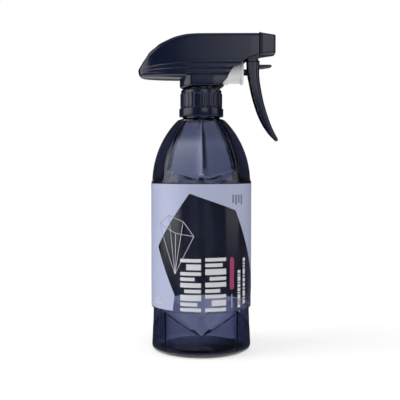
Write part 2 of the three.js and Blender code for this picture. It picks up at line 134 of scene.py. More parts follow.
def make_mesh(name, points, faces, sharp_angle=32):
    mesh = bpy.data.meshes.new(name)
    mesh.from_pydata([Vector(p) * MM for p in points], [], faces)
    work = bmesh.new()
    work.from_mesh(mesh)
    bmesh.ops.remove_doubles(work, verts=work.verts, dist=1e-6)
    bmesh.ops.recalc_face_normals(work, faces=work.faces)
    work.to_mesh(mesh)
    work.free()
    mesh.shade_smooth()
    mesh.set_sharp_from_angle(angle=math.radians(sharp_angle))
    piece = bpy.data.objects.new(name, mesh)
    bpy.context.scene.collection.objects.link(piece)
    return piece


def grid(rows, closed_across=False, closed_along=False):
    """Points and faces of a grid of rows of points. Across is along a row, along is row to row."""
    count = len(rows[0])
    points = [p for row in rows for p in row]
    faces = []
    for j in range(len(rows) - (0 if closed_along else 1)):
        below, above = j * count, (j + 1) % len(rows) * count
        for i in range(count - (0 if closed_across else 1)):
            k = (i + 1) % count
            faces.append((below + i, below + k, above + k, above + i))
    return points, faces


def loft(name, sections, sharp_angle=32):
    """A closed solid through closed sections, flat at its ends."""
    points, faces = grid(sections, closed_across=True)
    count = len(sections[0])
    faces.append(tuple(range(count)))
    faces.append(tuple(len(points) - count + i for i in range(count)))
    return make_mesh(name, points, faces, sharp_angle)


def revolve(name, profile, columns=96):
    """A solid turned about Z from (radius, height) pairs, which close on themselves."""
    angles = [TURN * i / columns for i in range(columns)]
    rows = []
    for radius, height in profile:
        rows.append([(radius * math.sin(a), -radius * math.cos(a), height) for a in angles])
    points, faces = grid(rows, closed_across=True, closed_along=True)
    return make_mesh(name, points, faces)


def lay_along_x(piece, height):
    """Turns a piece made about Z to lie along X at a height, with its place kept in its mesh."""
    for vertex in piece.data.vertices:
        x, y, z = vertex.co
        vertex.co = (z, y, height * MM - x)
    piece.data.update()
    return piece


def arc(centre, radius, start, end, steps):
    """Points of an arc, with angles in degrees from the first axis towards the second."""
    angles = [math.radians(mix(start, end, i / steps)) for i in range(steps + 1)]
    return [(centre[0] + radius * math.cos(a), centre[1] + radius * math.sin(a)) for a in angles]


def apply_modifiers(piece):
    bpy.context.view_layer.update()
    graph = bpy.context.evaluated_depsgraph_get()
    piece.data = bpy.data.meshes.new_from_object(piece.evaluated_get(graph))
    piece.modifiers.clear()


def thicken(piece, thickness, rim=0.0):
    """Gives an open skin its wall, inwards, and rounds the wall's edges."""
    wall = piece.modifiers.new("wall", "SOLIDIFY")
    wall.thickness = thickness * MM
    wall.offset = -1
    wall.use_even_offset = True
    if rim:
        edge = piece.modifiers.new("edge", "BEVEL")
        edge.width = rim * MM
        edge.segments = 2
        edge.limit_method = "ANGLE"
        edge.angle_limit = math.radians(55)
    apply_modifiers(piece)
    piece.data.shade_smooth()
    piece.data.set_sharp_from_angle(angle=math.radians(35))


# ---------- materials ----------


class Nodes:
    """A short way to build a material's node tree."""

    def __init__(self, name):
        self.material = bpy.data.materials.new(name)
        self.material.use_nodes = True
        self.tree = self.material.node_tree
        self.shader = self.tree.nodes["Principled BSDF"]
        self.output = self.tree.nodes["Material Output"]
        self.place = self.add("ShaderNodeTexCoord").outputs["Object"]

    def add(self, kind, **settings):
        node = self.tree.nodes.new(kind)
        for key, value in settings.items():
            setattr(node, key, value)
        return node

    def link(self, source, target):
        self.tree.links.new(source, target)

    def set(self, **values):
        for key, value in values.items():
            self.shader.inputs[key.replace("_", " ")].default_value = value

    def noise(self, scale, detail=3.0, roughness=0.5):
        node = self.add("ShaderNodeTexNoise")
        node.inputs["Scale"].default_value = scale
        node.inputs["Detail"].default_value = detail
        node.inputs["Roughness"].default_value = roughness
        self.link(self.place, node.inputs["Vector"])
        return node.outputs["Fac"]

    def ramp(self, source, low, high, start=0.35, end=0.65):
        """Maps a value to a colour or number between low and high."""
        is_colour = isinstance(low, tuple)
        if is_colour:
            node = self.add("ShaderNodeValToRGB")
            node.color_ramp.elements[0].position = start
            node.color_ramp.elements[1].position = end
            node.color_ramp.elements[0].color = (*low, 1)
            node.color_ramp.elements[1].color = (*high, 1)
            self.link(source, node.inputs["Fac"])
            return node.outputs["Color"]
        node = self.add("ShaderNodeMapRange")
        node.inputs["From Min"].default_value = start
        node.inputs["From Max"].default_value = end
        node.inputs["To Min"].default_value = low
        node.inputs["To Max"].default_value = high
        self.link(source, node.inputs["Value"])
        return node.outputs["Result"]

    def bumps(self, layers):
        """Adds (height source, strength, distance in mm) layers to the shader's normal."""
        normal = None
        for source, strength, distance in layers:
            node = self.add("ShaderNodeBump")
            node.inputs["Strength"].default_value = strength
            node.inputs["Distance"].default_value = distance * MM
            self.link(source, node.inputs["Height"])
            if normal is not None:
                self.link(normal, node.inputs["Normal"])
            normal = node.outputs["Normal"]
        self.link(normal, self.shader.inputs["Normal"])


def moulded_plastic(name, colour, tint, roughness, grain=0.03):
    """Moulded plastic: faint flow tint, fine spark-eroded grain, and uneven gloss."""
    nodes = Nodes(name)
    flow = nodes.noise(38, 2)
    fine = nodes.noise(2600, 2, 0.6)
    wave = nodes.noise(120, 3)
    nodes.link(nodes.ramp(flow, colour, tint), nodes.shader.inputs["Base Color"])
    nodes.link(nodes.ramp(wave, roughness - 0.015, roughness + 0.02), nodes.shader.inputs["Roughness"])
    nodes.set(IOR=1.49)
    nodes.bumps([(fine, grain, 0.02)])
    return nodes.material


def clear_navy():
    """Blow-moulded clear plastic, coloured all through, with faint waves in its wall."""
    nodes = Nodes("clear_navy_plastic")
    wave = nodes.noise(45, 2)
    fine = nodes.noise(600, 2)
    nodes.set(Base_Color=(0.93, 0.95, 1.0, 1), Transmission_Weight=1.0, IOR=1.5)
    nodes.link(nodes.ramp(fine, 0.02, 0.06), nodes.shader.inputs["Roughness"])
    nodes.bumps([(wave, 0.08, 0.3), (fine, 0.02, 0.03)])
    absorb = nodes.add("ShaderNodeVolumeAbsorption")
    absorb.inputs["Color"].default_value = (0.345, 0.375, 0.53, 1)
    absorb.inputs["Density"].default_value = 1700
    nodes.link(absorb.outputs["Volume"], nodes.output.inputs["Volume"])
    return nodes.material


def label_film(name, colour, tint, roughness=0.36, clear=0.0):
    """Printed film: faint screen grain, slight orange peel and uneven gloss."""
    nodes = Nodes(name)
    cloud = nodes.noise(24, 2)
    grain = nodes.noise(3200, 2, 0.7)
    peel = nodes.noise(260, 2)
    nodes.link(nodes.ramp(cloud, colour, tint), nodes.shader.inputs["Base Color"])
    nodes.link(nodes.ramp(peel, roughness - 0.04, roughness + 0.05), nodes.shader.inputs["Roughness"])
    nodes.set(IOR=1.45, Transmission_Weight=clear)
    nodes.bumps([(peel, 0.05, 0.08), (grain, 0.06, 0.01)])
    return nodes.material


def natural_plastic():
    """Uncoloured plastic, clear with a slight haze. Its low IOR lets it fade behind the tinted wall."""
    nodes = Nodes("natural_plastic")
    cloud = nodes.noise(60, 3)
    fine = nodes.noise(900, 2)
    nodes.link(nodes.ramp(cloud, (0.93, 0.94, 0.95), (0.97, 0.97, 0.98)), nodes.shader.inputs["Base Color"])
    nodes.link(nodes.ramp(fine, 0.03, 0.08), nodes.shader.inputs["Roughness"])
    nodes.set(Transmission_Weight=1.0, IOR=1.01)
    return nodes.material


def soft_rubber(name, colour, tint):
    nodes = Nodes(name)
    cloud = nodes.noise(90, 3)
    fine = nodes.noise(1800, 3, 0.7)
    nodes.link(nodes.ramp(cloud, colour, tint), nodes.shader.inputs["Base Color"])
    nodes.link(nodes.ramp(fine, 0.6, 0.8), nodes.shader.inputs["Roughness"])
    nodes.set(IOR=1.45)
    nodes.bumps([(fine, 0.3, 0.04)])
    return nodes.material


def drawn_steel():
    nodes = Nodes("drawn_steel")
    streak = nodes.noise(1400, 4, 0.7)
    nodes.link(nodes.ramp(streak, (0.5, 0.51, 0.53), (0.66, 0.67, 0.69)), nodes.shader.inputs["Base Color"])
    nodes.link(nodes.ramp(streak, 0.18, 0.34), nodes.shader.inputs["Roughness"])
    nodes.set(Metallic=1.0)
    nodes.bumps([(streak, 0.15, 0.01)])
    return nodes.material


NAVY = moulded_plastic("navy_moulding", (0.0065, 0.0118, 0.043), (0.0080, 0.0132, 0.043), 0.2)
DARK_NAVY = moulded_plastic("dark_navy_moulding", (0.003, 0.005, 0.02), (0.004, 0.006, 0.024), 0.33)
WHITE = moulded_plastic("white_moulding", (0.83, 0.835, 0.84), (0.86, 0.865, 0.87), 0.36)
BLACK = moulded_plastic("black_moulding", (0.006, 0.006, 0.008), (0.01, 0.01, 0.012), 0.4)
CLEAR_NAVY = clear_navy()
LAVENDER = label_film("lavender_film", (0.63, 0.68, 0.93), (0.65, 0.70, 0.95), clear=0.15)
PRINT_WHITE = label_film("white_print", (0.82, 0.83, 0.88), (0.86, 0.87, 0.9), 0.38)
PRINT_PINK = label_film("pink_print", (0.42, 0.05, 0.16), (0.46, 0.06, 0.18), 0.38)
PRINT_GREY = label_film("grey_print", (0.20, 0.23, 0.36), (0.22, 0.25, 0.39), 0.38)
NATURAL = natural_plastic()
SEAL = soft_rubber("seal_rubber", (0.02, 0.02, 0.022), (0.035, 0.035, 0.038))
FOAM = soft_rubber("gasket_foam", (0.68, 0.69, 0.7), (0.76, 0.77, 0.78))
STEEL = drawn_steel()


def finish_piece(piece, material, body, slot, *replaced):
    piece.data.materials.clear()
    piece.data.materials.append(material)
    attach(piece, body)
    if replaced:
        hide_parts(*replaced)
    return piece


# ---------- bottle ----------

# Heights, radii and edges of the bottle. Pairs are heights at a main edge and at a diagonal one.
HEEL = 4.0
FOOT_RADIUS = BODY_RADIUS - 0.5
WAIST_RADIUS = BODY_RADIUS - 1.5
PANEL_BOTTOM = LABEL_LOW.z - 1.1
PANEL_TOP = LABEL_HIGH.z + 0.3
SHOULDER_BASE = PANEL_TOP + 0.5
SHOULDER_TOP = 163.3
NECK_BASE = 165.2
NECK_RADIUS = 12.5
NECK_BORE = 10.9
THREAD_PITCH = 4.23
THREAD_START = 171.6
THREAD_TURNS = 1.75
SHOULDER_ARC = (65.0, -29.15, 118.5)
FOOT_POINTS = (15.3, 30.4)
SHOULDER_POINTS = (121.6, 129.2)
FACETS = 8
FACET_COLUMNS = (4, 12, 4)
RECESS_POINTS = (16.0, 30.7)
# The recess's zigzag reaches its top this many degrees from a main edge
RECESS_REACH = 16
# Wall thicknesses, and how much more the faces at the sides have
FOOT_WALL, FOOT_SIDE_WALL = 1.12, 0.4
PANEL_WALL = 0.8
SHOULDER_WALL, SHOULDER_SIDE_WALL = 0.95, 0.6
TRIANGLE_WALL = 1.3


def shoulder_radius(height):
    radius, centre_radius, centre_height = SHOULDER_ARC
    return centre_radius + math.sqrt(radius**2 - (height - centre_height) ** 2)


def column_places():
    """(eighth, zone, share) of each column. Zones: bevel at a main edge, flat, bevel at a diagonal edge."""
    places = []
    for eighth in range(FACETS):
        for zone, count in enumerate(FACET_COLUMNS):
            places += [(eighth, zone, i / count) for i in range(count)]
    return places


def column_angle(eighth, zone, share, main_bevel, diagonal_bevel):
    """The azimuth of a column in radians, and its degrees from a main edge, up to 45 at a diagonal one."""
    sector = 45.0
    if eighth % 2:
        zone, share = 2 - zone, 1 - share
    stops = (0, main_bevel, sector - diagonal_bevel, sector)
    inside = mix(stops[zone], stops[zone + 1], share)
    azimuth = eighth * sector + (sector - inside if eighth % 2 else inside)
    return math.radians(azimuth), inside


def facet_radius(radius, inside, main_bevel, diagonal_bevel):
    """The bevelled octagon's radius, inside degrees from a main edge."""
    half = math.radians(22.5)
    flat = lambda degrees: radius * math.cos(half) / math.cos(math.radians(degrees) - half)
    if inside < main_bevel:
        edge = math.radians(main_bevel)
        return flat(main_bevel) * math.cos(edge) / math.cos(math.radians(inside))
    if inside > 45 - diagonal_bevel:
        edge = math.radians(diagonal_bevel)
        return flat(45 - diagonal_bevel) * math.cos(edge) / math.cos(math.radians(45 - inside))
    return flat(inside)


def foot_edge(inside):
    return mix(*FOOT_POINTS, inside / 45)


def recess_share(height, inside):
    """0 on the foot, rising to 1 across the facets between its two nested zigzag edges."""
    low, high = foot_edge(inside), mix(*RECESS_POINTS, inside / RECESS_REACH)
    return clamp((height - low) / (high - low))


def wall_at(height, azimuth, inside):
    """The wall's thickness. It is thicker at the sides and the neck, and thinner along the main edges."""
    at_side = smooth(abs(math.sin(azimuth)), 0.69, 0.74)
    if height < PANEL_BOTTOM:
        share = recess_share(height, inside)
        step = 0.15 * smooth(height - foot_edge(inside), 0.0, 0.4) + 0.3 * bump(share, 0.5, 0.5)
        return FOOT_WALL - step - 0.2 * share + FOOT_SIDE_WALL * at_side * smooth(height, 1, HEEL)
    if height < SHOULDER_BASE:
        return PANEL_WALL
    edge = mix(*SHOULDER_POINTS, inside / 45)
    if height < edge - 0.1:
        return TRIANGLE_WALL + SHOULDER_SIDE_WALL * at_side
    ridge = 0.45 * (1 - smooth(inside, 2.0, 3.4)) - 0.5 * smooth(inside, 42, 44)
    top = 0.35 * smooth(height, 146, 160)
    ridge *= smooth(height, edge, edge + 3)
    return SHOULDER_WALL + SHOULDER_SIDE_WALL * at_side + top - ridge


def bottle_row(level, is_inner):
    """One ring of the bottle's wall. level(inside degrees) gives (height, radius, bevels, flatness)."""
    row = []
    for eighth, zone, share in column_places():
        _, rough = column_angle(eighth, zone, share, 2, 2)
        height, _, (main_bevel, diagonal_bevel), _ = level(rough)
        azimuth, inside = column_angle(eighth, zone, share, main_bevel, diagonal_bevel)
        height, radius, bevels, flatness = level(inside)
        radius = mix(radius, facet_radius(radius, inside, *bevels), flatness)
        if is_inner:
            radius -= wall_at(height, azimuth, inside)
        row.append((radius * math.sin(azimuth), -radius * math.cos(azimuth), height))
    return row


def round_level(radius, height):
    return lambda inside: (height, radius, (2.0, 2.0), 0.0)


def foot_level(share):
    """The foot, from the heel up to its zigzag edge, growing flatter towards the edge."""

    def level(inside):
        height = mix(HEEL, foot_edge(inside), share)
        return height, foot_radius(height, inside), (2.0, 1.2), 0.12 * smooth(share, 0, 0.5)

    return level


def foot_radius(height, inside):
    share = clamp((height - HEEL) / (foot_edge(inside) - HEEL))
    return FOOT_RADIUS - share * mix(0.55, 0.1, inside / 45)


def waist_level(stage):
    """The recess above the foot: stage 0 to 1 crosses its sloping facets, 1 to 2 its deepest part."""

    def level(inside):
        edge, top = foot_edge(inside), PANEL_BOTTOM - 0.7
        deepest = min(top, mix(*RECESS_POINTS, inside / RECESS_REACH))
        height = mix(edge, deepest, stage) if stage <= 1 else mix(deepest, top, stage - 1)
        recess = mix(WAIST_RADIUS + 0.45, WAIST_RADIUS, clamp((height - FOOT_POINTS[0]) / 12))
        step = 0.35 * smooth(inside, 3, 12) * (1 - smooth(inside, 40, 45)) * min(1, stage / 0.04)
        radius = mix(foot_radius(edge, inside) - step, recess, recess_share(height, inside))
        return height, radius, (2.0, 1.2), 0.22

    return level


def shoulder_bevels(height):
    share = clamp((height - SHOULDER_POINTS[0]) / (SHOULDER_TOP - SHOULDER_POINTS[0]))
    return mix(2.8, 0.6, share), mix(0.7, 9.0, share)


def shoulder_level(share):
    def level(inside):
        edge = mix(*SHOULDER_POINTS, inside / 45)
        height = mix(edge, SHOULDER_TOP, share)
        return height, shoulder_radius(height), shoulder_bevels(height), 1.0

    return level


def shoulder_skirt_level(share):
    """The triangles between the round top of the panel and the shoulder's zigzag edge."""

    def level(inside):
        edge = mix(*SHOULDER_POINTS, inside / 45)
        height = mix(SHOULDER_BASE, edge, share)
        radius = mix(BODY_RADIUS, shoulder_radius(edge), share)
        return height, radius, shoulder_bevels(edge), share

    return level


def thread_rise(azimuth, height):
    """How far the screw thread stands out of the neck there, in millimetres."""
    turned = (azimuth - TURN / 4) / TURN
    nearest = round((height - THREAD_START) / THREAD_PITCH - turned)
    along = turned + nearest
    if not -0.04 < along < THREAD_TURNS + 0.04:
        return 0.0
    off = abs(height - THREAD_START - THREAD_PITCH * along)
    ends = smooth(along, -0.04, 0.06) * (1 - smooth(along, THREAD_TURNS - 0.06, THREAD_TURNS + 0.04))
    return ends * (1 - smooth(off, 0.5, 1.0))


def neck_row(radius, height):
    row = []
    for eighth, zone, share in column_places():
        azimuth, _ = column_angle(eighth, zone, share, 2.0, 2.0)
        outer = radius + thread_rise(azimuth, height)
        row.append((outer * math.sin(azimuth), -outer * math.cos(azimuth), height))
    return row


# Each zigzag edge: its two heights, and the degrees between them
ZIGZAGS = ((FOOT_POINTS, 45), (RECESS_POINTS, RECESS_REACH), (SHOULDER_POINTS, 45))


def on_zigzag(place, points, reach):
    """Whether a place lies at the height of a zigzag edge for its azimuth."""
    degrees = math.degrees(math.atan2(place.x, -place.y)) % 90
    return abs(place.z - mix(*points, min(degrees, 90 - degrees) / reach)) < 0.02


def make_bottle():
    levels = [round_level(*p) for p in arc((FOOT_RADIUS - HEEL, HEEL), HEEL, -90, 0, 6)[1:]]
    levels += [foot_level(i / 6) for i in range(1, 7)]
    levels += [waist_level(stage) for stage in (0.04, 0.12, 0.3, 0.5, 0.75, 1, 1.25, 1.5, 1.75, 2)]
    levels += [round_level(PANEL_RADIUS - 0.5, PANEL_BOTTOM - 0.35), round_level(PANEL_RADIUS, PANEL_BOTTOM)]
    levels += [round_level(PANEL_RADIUS, mix(PANEL_BOTTOM, PANEL_TOP, i / 4)) for i in range(1, 5)]
    levels += [round_level(BODY_RADIUS - 0.12, PANEL_TOP + 0.15), round_level(BODY_RADIUS, SHOULDER_BASE)]
    levels += [shoulder_skirt_level(i / 3) for i in range(1, 4)]
    levels += [shoulder_level(i / 26) for i in range(1, 27)]
    outer = [bottle_row(level, False) for level in levels]
    inner = [bottle_row(level, True) for level in levels]
    ring = lambda radius, height: bottle_row(round_level(radius, height), False)
    bottom = [ring(r, z) for r, z in ((0.01, 1), (26, 1), (28, 0), (FOOT_RADIUS - HEEL, 0))]
    throat = [ring(16.6, 164.3), ring(15.2, 164.9), ring(13.6, NECK_BASE), ring(13.2, NECK_BASE + 0.3)]
    throat += [ring(13.2, NECK_BASE + 1), ring(NECK_RADIUS, NECK_BASE + 1.5)]
    steps = 44
    threads = [
        neck_row(NECK_RADIUS, mix(NECK_BASE + 2, NECK_TOP - 0.5, i / steps)) for i in range(steps + 1)
    ]
    lip = [ring(NECK_RADIUS - 0.15, NECK_TOP - 0.15), ring(NECK_RADIUS - 0.5, NECK_TOP)]
    lip += [ring(NECK_BORE, NECK_TOP), ring(NECK_BORE, NECK_BASE)]
    lip += [ring(NECK_BORE + 1, 164.2), ring(15.6, 163.4)]
    floor = [ring(r, z) for r, z in ((FOOT_RADIUS - HEEL, 2.0), (27, 3.0), (23.5, 3.7), (0.01, 3.9))]
    rows = bottom + outer + throat + threads + lip + inner[::-1] + floor
    points, faces = grid(rows, closed_across=True)
    bottle = make_mesh("bottle_shell", points, faces, 14)
    for edge in bottle.data.edges:
        ends = [bottle.data.vertices[i].co / MM for i in edge.vertices]
        if any(all(on_zigzag(place, *zigzag) for place in ends) for zigzag in ZIGZAGS):
            edge.use_edge_sharp = True
    return finish_piece(bottle, CLEAR_NAVY, "bottle_body", "bottle_plastic", "bottle")


# ---------- label ----------

# Corners of the clear window and of the ornament, as (degrees from the front, height)
WINDOW = ((-12.9, 113), (-56.3, 75.8), (-30.7, 43.5), (-33.5, 30), (99, 30), (40.7, 101.3))


def inside_polygon(polygon, x, y):
    found = False
    for (x1, y1), (x2, y2) in zip(polygon, polygon[1:] + polygon[:1]):
        if (y1 > y) != (y2 > y) and x < x1 + (y - y1) * (x2 - x1) / (y2 - y1):
            found = not found
    return found


def wrapped_film(name, outlines, radius, thickness, window=(), keep_inside=False, step=3.0):
    """Flat outlines in (degrees, height), less a window or only its inside, wrapped as thin film."""
    work = bmesh.new()
    for outline in outlines:
        work.faces.new([work.verts.new((x, 0, z)) for x, z in outline])
    window = list(window)

    def slice_at(point, normal):
        parts = work.verts[:] + work.edges[:] + work.faces[:]
        bmesh.ops.bisect_plane(work, geom=parts, plane_co=point, plane_no=normal)

    for (x1, z1), (x2, z2) in zip(window, window[1:] + window[:1]):
        slice_at((x1, 0, z1), (z2 - z1, 0, x1 - x2))
    low = min(v.co.x for v in work.verts)
    high = max(v.co.x for v in work.verts)
    for i in range(1, math.ceil((high - low) / step)):
        slice_at((low + i * step, 0, 0), (1, 0, 0))
    if window:
        centres = [(f, f.calc_center_median()) for f in work.faces]
        gone = [f for f, c in centres if inside_polygon(window, c.x, c.z) != keep_inside]
        bmesh.ops.delete(work, geom=gone, context="FACES")
    for vertex in work.verts:
        angle, height = math.radians(vertex.co.x), vertex.co.z
        vertex.co = (radius * math.sin(angle), -radius * math.cos(angle), height)
    points = [v.co.copy() for v in work.verts]
    work.verts.index_update()
    faces = [[v.index for v in f.verts] for f in work.faces]
    work.free()
    film = make_mesh(name, points, faces, 60)
    for face in film.data.polygons:
        if face.normal.dot(face.center * Vector((1, 1, 0))) < 0:
            face.flip()
    thicken(film, thickness)
    return film


def stroke(start, end, width):
    """The outline of a straight printed line between two (degrees, height) points."""
    per_degree = LABEL_RADIUS * TURN / 360
    along = Vector(((end[0] - start[0]) * per_degree, end[1] - start[1])).normalized() * width / 2
    side = Vector((-along.y / per_degree, along.x))
    tip = Vector((along.x / per_degree, along.y))
    a, b = Vector(start) - tip, Vector(end) + tip
    return [tuple(a + side), tuple(a - side), tuple(b - side), tuple(b + side)]


def bar(left, right, low, high):
    return [(left, low), (right, low), (right, high), (left, high)]


def bars_up(left, right, low, high, pattern, gap):
    """Bars stacked from low to high: each (share of the pitch, start share, end share across)."""
    total = sum(share for share, _, _ in pattern) + gap * (len(pattern) - 1)
    unit = (high - low) / total
    bars, base = [], low
    for share, start, end in pattern:
        bars.append(bar(mix(left, right, start), mix(left, right, end), base, base + share * unit))
        base += (share + gap) * unit
    return bars


def rounded_bar(left, right, low, high, steps=6):
    """An upright bar with rounded ends."""
    per_degree = LABEL_RADIUS * TURN / 360
    half = (right - left) / 2
    tall = half * per_degree
    ends = [math.pi * i / steps for i in range(steps + 1)]
    top = [(left + half + half * math.cos(a), high - tall + tall * math.sin(a)) for a in ends]
    bottom = [(left + half - half * math.cos(a), low + tall - tall * math.sin(a)) for a in ends]
    return top + bottom


def make_label():
    sheet = [bar(-180, 180, LABEL_LOW.z, LABEL_HIGH.z)]
    label = wrapped_film("label_film", sheet, LABEL_RADIUS, 0.12, WINDOW)
    finish_piece(label, LAVENDER, "bottle_body", "label_film", "label")


HEAVY_ROW = (
    (3, 0, 1), (3, 0, 0.82), (5, 0, 1), (3, 0.2, 1), (4, 0, 1),
    (3, 0, 0.7), (3, 0, 1), (5, 0.3, 1), (3, 0, 1),
)
LIGHT_ROW = tuple((share, 0, 1) for share in (2, 1, 1, 3, 1, 2, 2, 1, 3, 1, 2))


def make_print():
    """Plain blocks and rules in place of any lettering, and a line drawing of a cut stone."""
    print_radius = LABEL_RADIUS + 0.03
    blocks = bars_up(-23.5, -0.3, 32.9, 68.8, HEAVY_ROW, 1.7)
    blocks += bars_up(4.2, 28, 32.9, 69.5, HEAVY_ROW[::-1], 1.7)
    blocks += bars_up(44, 48.6, 34, 60, LIGHT_ROW, 0.6) + bars_up(53, 57.6, 36, 68, LIGHT_ROW[::-1], 0.6)
    blocks += [bar(35.2, 35.9, 34.5, 44)]
    blocks += [bar(-64 + 4 * i, -61.6 + 4 * i, 36, 37.2) for i in range(4)]
    blocks += [bar(-64 + 5 * i, -60 + 5 * i, 38.6, 39.4) for i in range(2)]
    white = wrapped_film("label_print_blocks", blocks, print_radius, 0.04, step=4.0)
    finish_piece(white, PRINT_WHITE, "bottle_body", "label_film")
    pill = wrapped_film("label_print_bar", [rounded_bar(32.6, 38.4, 47, 69.5)], print_radius, 0.04, step=2.0)
    finish_piece(pill, PRINT_PINK, "bottle_body", "label_film")
    ticks = [bar(36 + 4.2 * i, 38.6 + 4.2 * i, 106.4 - (i % 2) * 1.2, 112) for i in range(4)]
    crown = [(-52, 92), (-38, 98), (-20, 94), (-8, 84)]
    base = (-30, 58)
    lines = [(a, b) for a, b in zip(crown, crown[1:])] + [(point, base) for point in crown]
    lines += [((-52, 92), (-29, 86)), ((-29, 86), (-8, 84)), ((-29, 86), base)]
    strokes = [stroke(a, b, 0.3) for a, b in lines]
    light = wrapped_film("label_print_lines", strokes, print_radius, 0.04, WINDOW, True)
    finish_piece(light, PRINT_WHITE, "bottle_body", "label_film")
    dark = wrapped_film("label_print_lines_dark", strokes + ticks, print_radius, 0.04, WINDOW)
    finish_piece(dark, PRINT_GREY, "bottle_body", "label_film")


# ---------- collar ----------


def make_collar():
    ribs, columns_per_rib, bore = 32, 10, 13.9
    low, high = COLLAR_LOW.z, COLLAR_HIGH.z
    ring_radius = COLLAR_HIGH.x
    rib_low, rib_high = low + 6.5, high - 3.0
    valley, rib_height, rib_half = 14.55, 0.5, 0.86
    columns = ribs * columns_per_rib

    def rib_rise(index, height):
        across = ((index % columns_per_rib) / columns_per_rib - 0.5) * TURN * valley / ribs
        beyond = max(0, height - (rib_high - rib_half), rib_low + rib_half - height)
        distance = math.hypot(across, beyond) if beyond else abs(across)
        return rib_height * (1 - smooth(distance, rib_half - 0.35, rib_half + 0.1))

    outside = arc((ring_radius - 0.5, low + 0.5), 0.5, -90, 0, 3)
    outside += arc((ring_radius - 0.7, low + 5.3), 0.7, 0, 90, 4)
    outside += [(valley + 0.35, low + 6.05), (valley + 0.08, low + 6.2), (valley, low + 6.4)]
    steps = 26
    ribbed = [(valley, mix(rib_low - 0.1, rib_high + 0.2, i / steps)) for i in range(steps + 1)]
    crown = [(14.45, rib_high + 0.5)] + arc((12.9, high - 1.6), 1.6, 10, 90, 6)
    inside = [(10.6, high), (10.6, high - 1.1), (bore, high - 1.1), (bore, low + 0.6), (bore + 0.4, low)]
    rows = []
    for radius, height in outside + ribbed + crown + inside:
        is_ribbed = radius == valley and height > rib_low - 0.2
        row = []
        for index in range(columns):
            angle = TURN * index / columns
            out = radius + (rib_rise(index, height) if is_ribbed else 0)
            row.append((out * math.sin(angle), -out * math.cos(angle), height))
        rows.append(row)
    points, faces = grid(rows, closed_across=True, closed_along=True)
    collar = make_mesh("collar_ring", points, faces, 40)
    finish_piece(collar, NAVY, "collar", "navy_plastic", "collar")
    return collar


# ---------- shroud ----------

SHROUD_HALF = 11.9
SHROUD_TOP = table((
    (-44.9, 199.6), (-44.3, 201.2), (-43.3, 202.7), (-41.2, 206.0), (-39.0, 209.0), (-36.9, 211.9),
    (-32.5, 215.7), (-28.2, 218.8), (-23.9, 221.0), (-19.6, 222.9), (-15.3, 224.2), (-9.5, 225.3),
    (-2, 225.75), (20, 225.8), (40.4, 225.8),
))
SHROUD_BELLY = table((
    (-44.9, 198.4), (-44.3, 196.0), (-43, 194.6), (-41, 193.8), (-36.9, 193.4), (-24, 192.9), (-9, 192.7),
))
SHROUD_EDGE = table((
    (-44.9, 199.0), (-43, 197.3), (-38, 197.0), (-16, 197.2), (-9, 196.5), (-2, 190.5), (8, 188.6),
    (11.5, 188.5), (14.6, 189.8), (17.4, 192.4), (19.3, 195.8), (21.1, 199.0), (23.8, 201.6),
    (27.3, 204.0), (31.5, 206.5), (32.6, 207.4), (36, 208.8), (40.4, 210.5),
))
SHROUD_PLAN = table((
    (-44.9, 1.6), (-44.3, 3.6), (-43, 5.6), (-40, 7.9), (-35, 9.9), (-28, 11.2), (-16, 11.8),
    (-8, SHROUD_HALF), (34, SHROUD_HALF), (40.4, 11.75),
))
SHROUD_CORNER = table((
    (-44.9, 1.0), (-42, 2.6), (-36, 3.4), (-26, 3.6), (0, 3.4), (40.4, 3.2),
))
RIDGES = (0.012, 0.137, 0.268)


def shroud_flank(x, height):
    """Half width of the shroud's side there, with its three ridges, below the rounded corner."""
    top = SHROUD_TOP(x)
    low = min(197.2, mix(SHROUD_BELLY(x), top, 0.3))
    strength = smooth(x, -44, -32)
    place = (height - low) / (top - low)
    width = SHROUD_PLAN(x) - 0.05 * max(0.0, height - 200)
    rise = mix(0.75, 0.35, smooth(x, -38, -20)) * strength
    width += sum(rise * bump(place, share, 0.05) for share in RIDGES)
    return width - 0.3 * strength * (1 - smooth(place, 0.28, 0.33))


def shroud_half_section(x):
    """Half of the shroud's section from its lower edge up to the middle of its back, as (y, z)."""
    low, top = SHROUD_EDGE(x), SHROUD_TOP(x)
    half = SHROUD_PLAN(x)
    crown = min(0.7, half * 0.12, (top - low) * 0.2)
    corner = min(SHROUD_CORNER(x), half * 0.75, (top - low) * 0.55)
    bend = top - crown - corner
    points = [(shroud_flank(x, mix(low, bend, j / 70)), mix(low, bend, j / 70)) for j in range(71)]
    flat = points[-1][0] - corner
    points += arc((flat, bend), corner, 0, 90, 18)[1:]
    back = [(flat * (1 - j / 10), j / 10) for j in range(1, 11)]
    return points + [(y, bend + corner + crown * (1 - (1 - share) ** 2)) for y, share in back]


def back_notches(x):
    """Two shallow sawtooth steps down the shroud's back."""
    rise = 0.0
    for place in (-37.9, -31.3):
        rise += 0.3 * smooth(x, place - 0.2, place + 0.2) * (1 - smooth(x, place + 0.2, place + 6))
    return rise


